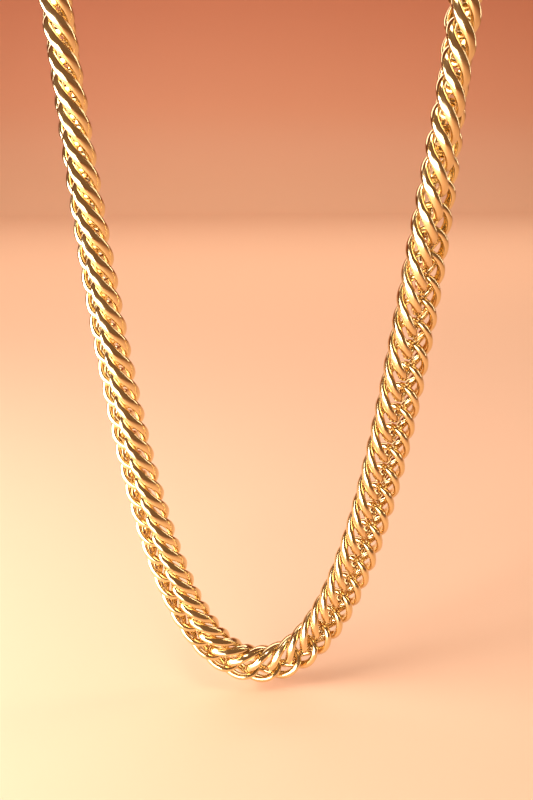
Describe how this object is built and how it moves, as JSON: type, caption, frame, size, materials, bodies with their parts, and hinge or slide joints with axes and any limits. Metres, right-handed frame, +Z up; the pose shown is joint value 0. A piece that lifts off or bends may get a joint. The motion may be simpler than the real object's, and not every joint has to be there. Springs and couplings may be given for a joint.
{
  "type": "chain necklace",
  "caption": "Gold double curb chain necklace, hung as a closed loop, with a sprung lobster clasp.",
  "frame": {"origin": "top of the display bar, under the middle of the clasp run", "axes": "+Z up, +X along the bar to the right strand, loop in the XZ plane, -Y towards the viewer"},
  "size_m": [0.0738, 0.0094, 0.1753],
  "materials": {
    "gold": "polished yellow gold",
    "spring_steel": "spring steel"
  },
  "bodies": {
    "held_top": {"left_links_01": "gold", "left_links_02": "gold", "left_links_03": "gold", "left_links_04": "gold", "right_links_01": "gold", "right_links_02": "gold", "right_links_03": "gold", "right_links_04": "gold", "clasp_body": "gold", "clasp_pin": "gold", "clasp_spring": "spring_steel", "clasp_jump_ring": "gold", "catch_ring": "gold"},
    "left_strand_05": {"left_links_05": "gold"},
    "left_strand_06": {"left_links_06": "gold"},
    "left_strand_07": {"left_links_07": "gold"},
    "left_strand_08": {"left_links_08": "gold"},
    "left_strand_09": {"left_links_09": "gold"},
    "left_strand_10": {"left_links_10": "gold"},
    "left_strand_11": {"left_links_11": "gold"},
    "left_strand_12": {"left_links_12": "gold"},
    "left_strand_13": {"left_links_13": "gold"},
    "left_strand_14": {"left_links_14": "gold"},
    "left_strand_15": {"left_links_15": "gold"},
    "left_strand_16": {"left_links_16": "gold"},
    "left_strand_17": {"left_links_17": "gold"},
    "left_strand_18": {"left_links_18": "gold"},
    "left_strand_19": {"left_links_19": "gold"},
    "left_strand_20": {"left_links_20": "gold"},
    "left_strand_21": {"left_links_21": "gold"},
    "left_strand_22": {"left_links_22": "gold"},
    "left_strand_23": {"left_links_23": "gold"},
    "right_strand_05": {"right_links_05": "gold"},
    "right_strand_06": {"right_links_06": "gold"},
    "right_strand_07": {"right_links_07": "gold"},
    "right_strand_08": {"right_links_08": "gold"},
    "right_strand_09": {"right_links_09": "gold"},
    "right_strand_10": {"right_links_10": "gold"},
    "right_strand_11": {"right_links_11": "gold"},
    "right_strand_12": {"right_links_12": "gold"},
    "right_strand_13": {"right_links_13": "gold"},
    "right_strand_14": {"right_links_14": "gold"},
    "right_strand_15": {"right_links_15": "gold"},
    "right_strand_16": {"right_links_16": "gold"},
    "right_strand_17": {"right_links_17": "gold"},
    "right_strand_18": {"right_links_18": "gold"},
    "right_strand_19": {"right_links_19": "gold"},
    "right_strand_20": {"right_links_20": "gold"},
    "right_strand_21": {"right_links_21": "gold"},
    "right_strand_22": {"right_links_22": "gold"},
    "right_strand_23": {"right_links_23": "gold"},
    "trigger": {"clasp_trigger": "gold"}
  },
  "joints": [
    {"name": "left_bend_05", "type": "hinge", "parent": "held_top", "child": "left_strand_05", "pos_m": [-0.03399, 0, -0.01605], "axis": [1, 0, 0], "range_deg": [-6, 6]},
    {"name": "left_bend_06", "type": "hinge", "parent": "left_strand_05", "child": "left_strand_06", "pos_m": [-0.03346, 0, -0.02443], "axis": [1, 0, 0], "range_deg": [-6, 6]},
    {"name": "left_bend_07", "type": "hinge", "parent": "left_strand_06", "child": "left_strand_07", "pos_m": [-0.03291, 0, -0.03281], "axis": [1, 0, 0], "range_deg": [-6, 6]},
    {"name": "left_bend_08", "type": "hinge", "parent": "left_strand_07", "child": "left_strand_08", "pos_m": [-0.03232, 0, -0.04119], "axis": [1, 0, 0], "range_deg": [-6, 6]},
    {"name": "left_bend_09", "type": "hinge", "parent": "left_strand_08", "child": "left_strand_09", "pos_m": [-0.0317, 0, -0.04957], "axis": [1, 0, 0], "range_deg": [-6, 6]},
    {"name": "left_bend_10", "type": "hinge", "parent": "left_strand_09", "child": "left_strand_10", "pos_m": [-0.03103, 0, -0.05794], "axis": [1, 0, 0], "range_deg": [-6, 6]},
    {"name": "left_bend_11", "type": "hinge", "parent": "left_strand_10", "child": "left_strand_11", "pos_m": [-0.03031, 0, -0.06631], "axis": [1, 0, 0], "range_deg": [-6, 6]},
    {"name": "left_bend_12", "type": "hinge", "parent": "left_strand_11", "child": "left_strand_12", "pos_m": [-0.02954, 0, -0.07468], "axis": [1, 0, 0], "range_deg": [-6, 6]},
    {"name": "left_bend_13", "type": "hinge", "parent": "left_strand_12", "child": "left_strand_13", "pos_m": [-0.0287, 0, -0.08303], "axis": [1, 0, 0], "range_deg": [-6, 6]},
    {"name": "left_bend_14", "type": "hinge", "parent": "left_strand_13", "child": "left_strand_14", "pos_m": [-0.02778, 0, -0.09138], "axis": [1, 0, 0], "range_deg": [-6, 6]},
    {"name": "left_bend_15", "type": "hinge", "parent": "left_strand_14", "child": "left_strand_15", "pos_m": [-0.02677, 0, -0.09972], "axis": [1, 0, 0], "range_deg": [-6, 6]},
    {"name": "left_bend_16", "type": "hinge", "parent": "left_strand_15", "child": "left_strand_16", "pos_m": [-0.02563, 0, -0.10805], "axis": [1, 0, 0], "range_deg": [-6, 6]},
    {"name": "left_bend_17", "type": "hinge", "parent": "left_strand_16", "child": "left_strand_17", "pos_m": [-0.02435, 0, -0.11635], "axis": [1, 0, 0], "range_deg": [-6, 6]},
    {"name": "left_bend_18", "type": "hinge", "parent": "left_strand_17", "child": "left_strand_18", "pos_m": [-0.02288, 0, -0.12462], "axis": [1, 0, 0], "range_deg": [-6, 6]},
    {"name": "left_bend_19", "type": "hinge", "parent": "left_strand_18", "child": "left_strand_19", "pos_m": [-0.02115, 0, -0.13284], "axis": [1, 0, 0], "range_deg": [-6, 6]},
    {"name": "left_bend_20", "type": "hinge", "parent": "left_strand_19", "child": "left_strand_20", "pos_m": [-0.01905, 0, -0.14097], "axis": [1, 0, 0], "range_deg": [-6, 6]},
    {"name": "left_bend_21", "type": "hinge", "parent": "left_strand_20", "child": "left_strand_21", "pos_m": [-0.01641, 0, -0.14894], "axis": [1, 0, 0], "range_deg": [-6, 6]},
    {"name": "left_bend_22", "type": "hinge", "parent": "left_strand_21", "child": "left_strand_22", "pos_m": [-0.01286, 0, -0.15654], "axis": [1, 0, 0], "range_deg": [-6, 6]},
    {"name": "left_bend_23", "type": "hinge", "parent": "left_strand_22", "child": "left_strand_23", "pos_m": [-0.00768, 0, -0.16311], "axis": [1, 0, 0], "range_deg": [-2, 6]},
    {"name": "right_bend_05", "type": "hinge", "parent": "held_top", "child": "right_strand_05", "pos_m": [0.03399, 0, -0.01605], "axis": [1, 0, 0], "range_deg": [-6, 6]},
    {"name": "right_bend_06", "type": "hinge", "parent": "right_strand_05", "child": "right_strand_06", "pos_m": [0.03346, 0, -0.02443], "axis": [1, 0, 0], "range_deg": [-6, 6]},
    {"name": "right_bend_07", "type": "hinge", "parent": "right_strand_06", "child": "right_strand_07", "pos_m": [0.03291, 0, -0.03281], "axis": [1, 0, 0], "range_deg": [-6, 6]},
    {"name": "right_bend_08", "type": "hinge", "parent": "right_strand_07", "child": "right_strand_08", "pos_m": [0.03232, 0, -0.04119], "axis": [1, 0, 0], "range_deg": [-6, 6]},
    {"name": "right_bend_09", "type": "hinge", "parent": "right_strand_08", "child": "right_strand_09", "pos_m": [0.0317, 0, -0.04957], "axis": [1, 0, 0], "range_deg": [-6, 6]},
    {"name": "right_bend_10", "type": "hinge", "parent": "right_strand_09", "child": "right_strand_10", "pos_m": [0.03103, 0, -0.05794], "axis": [1, 0, 0], "range_deg": [-6, 6]},
    {"name": "right_bend_11", "type": "hinge", "parent": "right_strand_10", "child": "right_strand_11", "pos_m": [0.03031, 0, -0.06631], "axis": [1, 0, 0], "range_deg": [-6, 6]},
    {"name": "right_bend_12", "type": "hinge", "parent": "right_strand_11", "child": "right_strand_12", "pos_m": [0.02954, 0, -0.07468], "axis": [1, 0, 0], "range_deg": [-6, 6]},
    {"name": "right_bend_13", "type": "hinge", "parent": "right_strand_12", "child": "right_strand_13", "pos_m": [0.0287, 0, -0.08303], "axis": [1, 0, 0], "range_deg": [-6, 6]},
    {"name": "right_bend_14", "type": "hinge", "parent": "right_strand_13", "child": "right_strand_14", "pos_m": [0.02778, 0, -0.09138], "axis": [1, 0, 0], "range_deg": [-6, 6]},
    {"name": "right_bend_15", "type": "hinge", "parent": "right_strand_14", "child": "right_strand_15", "pos_m": [0.02677, 0, -0.09972], "axis": [1, 0, 0], "range_deg": [-6, 6]},
    {"name": "right_bend_16", "type": "hinge", "parent": "right_strand_15", "child": "right_strand_16", "pos_m": [0.02563, 0, -0.10805], "axis": [1, 0, 0], "range_deg": [-6, 6]},
    {"name": "right_bend_17", "type": "hinge", "parent": "right_strand_16", "child": "right_strand_17", "pos_m": [0.02435, 0, -0.11635], "axis": [1, 0, 0], "range_deg": [-6, 6]},
    {"name": "right_bend_18", "type": "hinge", "parent": "right_strand_17", "child": "right_strand_18", "pos_m": [0.02288, 0, -0.12462], "axis": [1, 0, 0], "range_deg": [-6, 6]},
    {"name": "right_bend_19", "type": "hinge", "parent": "right_strand_18", "child": "right_strand_19", "pos_m": [0.02115, 0, -0.13284], "axis": [1, 0, 0], "range_deg": [-6, 6]},
    {"name": "right_bend_20", "type": "hinge", "parent": "right_strand_19", "child": "right_strand_20", "pos_m": [0.01905, 0, -0.14097], "axis": [1, 0, 0], "range_deg": [-6, 6]},
    {"name": "right_bend_21", "type": "hinge", "parent": "right_strand_20", "child": "right_strand_21", "pos_m": [0.01641, 0, -0.14894], "axis": [1, 0, 0], "range_deg": [-6, 6]},
    {"name": "right_bend_22", "type": "hinge", "parent": "right_strand_21", "child": "right_strand_22", "pos_m": [0.01286, 0, -0.15654], "axis": [1, 0, 0], "range_deg": [-6, 6]},
    {"name": "right_bend_23", "type": "hinge", "parent": "right_strand_22", "child": "right_strand_23", "pos_m": [0.00768, 0, -0.16311], "axis": [1, 0, 0], "range_deg": [-2, 6]},
    {"name": "trigger_pull", "type": "hinge", "parent": "held_top", "child": "trigger", "pos_m": [-0.00025, -0.00272, 0.00235], "axis": [0, 0, 1], "range_deg": [0, 18], "stiffness_Nm_per_rad": 0.0004, "springref_deg": -11.46}
  ],
  "couplings": [
    {"joint": "right_bend_05", "follows": "left_bend_05", "ratio": 1},
    {"joint": "right_bend_06", "follows": "left_bend_06", "ratio": 1},
    {"joint": "right_bend_07", "follows": "left_bend_07", "ratio": 1},
    {"joint": "right_bend_08", "follows": "left_bend_08", "ratio": 1},
    {"joint": "right_bend_09", "follows": "left_bend_09", "ratio": 1},
    {"joint": "right_bend_10", "follows": "left_bend_10", "ratio": 1},
    {"joint": "right_bend_11", "follows": "left_bend_11", "ratio": 1},
    {"joint": "right_bend_12", "follows": "left_bend_12", "ratio": 1},
    {"joint": "right_bend_13", "follows": "left_bend_13", "ratio": 1},
    {"joint": "right_bend_14", "follows": "left_bend_14", "ratio": 1},
    {"joint": "right_bend_15", "follows": "left_bend_15", "ratio": 1},
    {"joint": "right_bend_16", "follows": "left_bend_16", "ratio": 1},
    {"joint": "right_bend_17", "follows": "left_bend_17", "ratio": 1},
    {"joint": "right_bend_18", "follows": "left_bend_18", "ratio": 1},
    {"joint": "right_bend_19", "follows": "left_bend_19", "ratio": 1},
    {"joint": "right_bend_20", "follows": "left_bend_20", "ratio": 1},
    {"joint": "right_bend_21", "follows": "left_bend_21", "ratio": 1},
    {"joint": "right_bend_22", "follows": "left_bend_22", "ratio": 1},
    {"joint": "right_bend_23", "follows": "left_bend_23", "ratio": 1}
  ]
}
